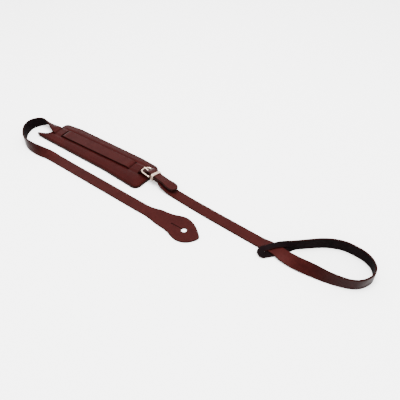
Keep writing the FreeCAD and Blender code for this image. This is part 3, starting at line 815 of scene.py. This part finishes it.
def cover_top(points, d_out, d_hole):
    """Crowned over the felt, pressed down under the strap and raised over the two bridges."""
    x, y = points[:, 0], points[:, 1]
    off = np.abs(y - pad_line(x))
    shoulder = np.clip(d_out / SHOULDER, 0, 1)
    z = RIM_TOP + (PAD_TOP - RIM_TOP) * np.sqrt(1 - (1 - shoulder) ** 2)
    z -= 0.05 * np.exp(-(((d_out - GROOVE) / 0.6) ** 2))
    pressed = 1 - ramp(7.5, 12.5, off)
    z += 1.35 * ramp(0.4, 12.0, d_out) * (1 - 0.96 * pressed)
    z += 0.16 * np.sin(x / 9.0 + 1.3) * np.sin(y / 6.5) * ramp(4, 9, d_out) * (1 - pressed)
    raised = 1 - ramp(5.5, 11.0, off)
    for down, up in (SLOT_X[:2], SLOT_X[2:]):
        along = ramp(down - GAP, down + GAP, x) * (1 - ramp(up - GAP, up + GAP, x))
        z += 1.55 * along * raised
    z -= 0.35 * np.exp(-((np.minimum(d_hole, 9) / 0.5) ** 2))
    return z + curl(points)


def cover_low(points, d_out, d_hole):
    return 1.05 + curl(points)


def lining_top(points, d_out, d_hole):
    return 1.03 + curl(points)


def lining_low(points, d_out, d_hole):
    return LINING_ROUND - rounding(d_out, LINING_ROUND) + curl(points)


pad_leather = plate("pad_leather", pad_outline, slots, (0.25, 0.6, 1.1, 1.8), 1.0,
                    cover_top, cover_low, (pad_grain, edge_dark, flesh_black), 0.9)
pad_suede = plate("pad_suede", pad_outline, [], (0.2, 0.5, 1.2), 3.0, lining_top, lining_low,
                  (lining_black, lining_black, lining_black))


def stitch(start, end, lift, radius, rings=5, around=6):
    """Points and faces of one raised stitch between two holes."""
    axis = (end - start) / np.linalg.norm(end - start)
    side = np.cross(axis, lift)
    points = []
    for i in range(rings):
        u = i / (rings - 1)
        middle = start + (end - start) * u + lift * (0.30 * math.sin(math.pi * u) - 0.12)
        size = radius * (0.45 + 0.55 * math.sin(math.pi * u) ** 0.5)
        for k in range(around):
            angle = 2 * math.pi * k / around
            points.append(middle + size * (math.cos(angle) * side + math.sin(angle) * lift))
    faces = tube_faces(rings, around)
    faces += [list(range(around - 1, -1, -1)), list(range((rings - 1) * around, rings * around))]
    return points, faces


def stitches(name, runs, radius):
    """One object of many stitches, given by start, end and the direction out of the leather."""
    points, faces = [], []
    for start, end, lift in runs:
        made, sides = stitch(np.asarray(start), np.asarray(end), np.asarray(lift, float), radius)
        faces += [[v + len(points) for v in face] for face in sides]
        points += made
    return make_object(name, points, faces, [0] * len(faces), (thread_dark,))


PAD_PITCH = 3.6
seam = shifted(pad_outline, GROOVE)
closed = np.vstack([seam, seam[:1]])
walked = np.concatenate([[0], np.cumsum(np.linalg.norm(np.diff(closed, axis=0), axis=1))])
count = int(walked[-1] / PAD_PITCH)


def seam_point(distance_along):
    return np.array([np.interp(distance_along, walked, closed[:, axis]) for axis in (0, 1)])


# Round the pad, one stitch above and one below for each pitch.
runs = []
for i in range(count):
    first = seam_point(walked[-1] * (i + 0.12) / count)
    last = seam_point(walked[-1] * (i + 0.88) / count)
    pair = np.array([first, last])
    far = np.full(2, 50.0)
    height = cover_top(pair, distance(pair, pad_outline), far)
    low = curl(pair)
    runs.append((np.append(first, height[0] + 0.12), np.append(last, height[1] + 0.12), (0, 0, 1)))
    runs.append((np.append(first, low[0] + 0.45), np.append(last, low[1] + 0.45), (0, 0, -1)))
pad_thread = stitches("pad_thread", runs, 0.2)

# Two rows through the fold behind the buckle.
FOLD_PITCH, FOLD_STITCH = 2.4, 1.9
runs = []
for y in (-4.6, 4.6):
    for i in range(4):
        x = 6.2 + FOLD_PITCH * i
        for z, lift in ((2.4, OUT), (-1.78, -OUT)):
            runs.append((in_buckle(x, z, y), in_buckle(x + FOLD_STITCH, z, y), lift))
fold_thread = stitches("fold_thread", runs, 0.24)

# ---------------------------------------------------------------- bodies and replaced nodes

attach(strap_leaf, "straps")
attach(noose_strap_piece, "straps")
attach(fold_thread, "straps")
for piece in (pad_leather, pad_suede, pad_thread):
    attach(piece, "pad")
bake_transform(strap_weave)
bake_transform(strap_billet)

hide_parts("button_strap")
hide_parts("button_strap")
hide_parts("button_strap")
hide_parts("noose_strap")
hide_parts("fold_stitches")
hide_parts("pad_cover", "pad_filler")
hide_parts("pad_lining")
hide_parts("pad_stitches")
for node in ("buckle_frame", "buckle_prong", "keeper"):
    item = frame["nodes"][node]
    item.data.materials.clear()
    item.data.materials.append(nickel)

# ---------------------------------------------------------------- floor, light and camera

def studio_floor():
    mesh = bpy.data.meshes.new("floor")
    reach = 6.0
    corners = [(-reach, -reach, 0), (reach, -reach, 0), (reach, reach, 0), (-reach, reach, 0)]
    mesh.from_pydata(corners, [], [[0, 1, 2, 3]])
    g = Graph("PaleFloor")
    g.put("Base Color", (0.90, 0.90, 0.90))
    g.put("Roughness", 0.9)
    mesh.materials.append(g.material)
    item = bpy.data.objects.new("floor", mesh)
    bpy.context.scene.collection.objects.link(item)
    item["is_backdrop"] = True


studio_floor()
scene = bpy.context.scene
world = bpy.data.worlds.new("PaleStudio")
scene.world = world
world.use_nodes = True
world.node_tree.nodes["Background"].inputs["Color"].default_value = (1.0, 0.995, 0.99, 1.0)
world.node_tree.nodes["Background"].inputs["Strength"].default_value = 3.2


def soft_light(name, place, aim, size, power):
    data = bpy.data.lights.new(name, "AREA")
    data.shape = "SQUARE"
    data.size = size
    data.energy = power
    item = bpy.data.objects.new(name, data)
    scene.collection.objects.link(item)
    item.location = place
    item.rotation_euler = (Vector(aim) - Vector(place)).to_track_quat("-Z", "Y").to_euler()


soft_light("overhead", (0.05, 0.0, 1.6), (0, 0, 0), 1.0, 105.0)

CAMERA_AT = (559.4, -282.6, 424.5)
AZIMUTH, ELEVATION = math.radians(36.64), math.radians(45.0)
camera_data = bpy.data.cameras.new("camera")
camera_data.sensor_width = 36.0
camera_data.lens = 40.5
camera_data.clip_start = 0.01
camera_data.clip_end = 20.0
camera = bpy.data.objects.new("camera", camera_data)
scene.collection.objects.link(camera)
camera.location = layout(*CAMERA_AT)
back = Vector((math.sin(AZIMUTH) * math.cos(ELEVATION), -math.cos(AZIMUTH) * math.cos(ELEVATION),
               math.sin(ELEVATION)))
camera.rotation_euler = (-back).to_track_quat("-Z", "Y").to_euler()
scene.camera = camera

low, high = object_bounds()
